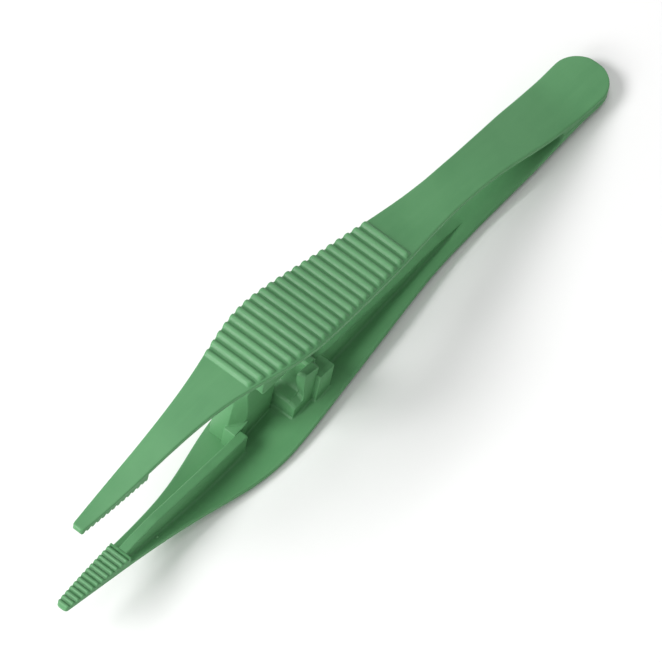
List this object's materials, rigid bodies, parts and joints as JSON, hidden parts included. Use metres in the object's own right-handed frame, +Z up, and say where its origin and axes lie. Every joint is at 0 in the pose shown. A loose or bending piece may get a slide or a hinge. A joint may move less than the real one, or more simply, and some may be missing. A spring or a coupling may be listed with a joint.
{
  "type": "plastic tweezers",
  "caption": "Moulded plastic tweezers: spring arms welded at a rounded tail, ridged grips, toothed jaw pads, stiffening ribs and an inner guide.",
  "frame": {"origin": "bottom centre of the box around the part as it lies on a table, on its tail end and its lower grip, at rest with the arms open", "axes": "+X from the tail towards the tips, +Y across the arms' width, +Z up; the plane in which the arms close contains +Y and rises 9.05 degrees towards the tips"},
  "size_m": [0.1272, 0.013, 0.0322],
  "materials": {
    "green_plastic": "satin, moulded, single colour"
  },
  "bodies": {
    "tail": {"upper_tail_lobe": "green_plastic", "lower_tail_lobe": "green_plastic"},
    "upper_arm": {"upper_spring_arm": "green_plastic", "upper_rear_rib": "green_plastic", "upper_front_rib": "green_plastic", "upper_jaw_pad": "green_plastic", "upper_guide_tongue": "green_plastic"},
    "lower_arm": {"lower_spring_arm": "green_plastic", "lower_rear_rib": "green_plastic", "lower_front_rib": "green_plastic", "lower_jaw_pad": "green_plastic", "lower_guide_fork": "green_plastic", "lower_guide_wall": "green_plastic"}
  },
  "joints": [
    {"name": "upper_arm_flex", "type": "hinge", "parent": "tail", "child": "upper_arm", "pos_m": [-0.04985, 0, 0.00524], "axis": [0, 1, 0], "range_deg": [0, 4.7], "stiffness_Nm_per_rad": 0.8},
    {"name": "lower_arm_flex", "type": "hinge", "parent": "tail", "child": "lower_arm", "pos_m": [-0.04941, 0, 0.00248], "axis": [0, 1, 0], "range_deg": [-4.7, 0], "stiffness_Nm_per_rad": 0.8}
  ],
  "couplings": [
    {"joint": "lower_arm_flex", "follows": "upper_arm_flex", "ratio": -1}
  ]
}
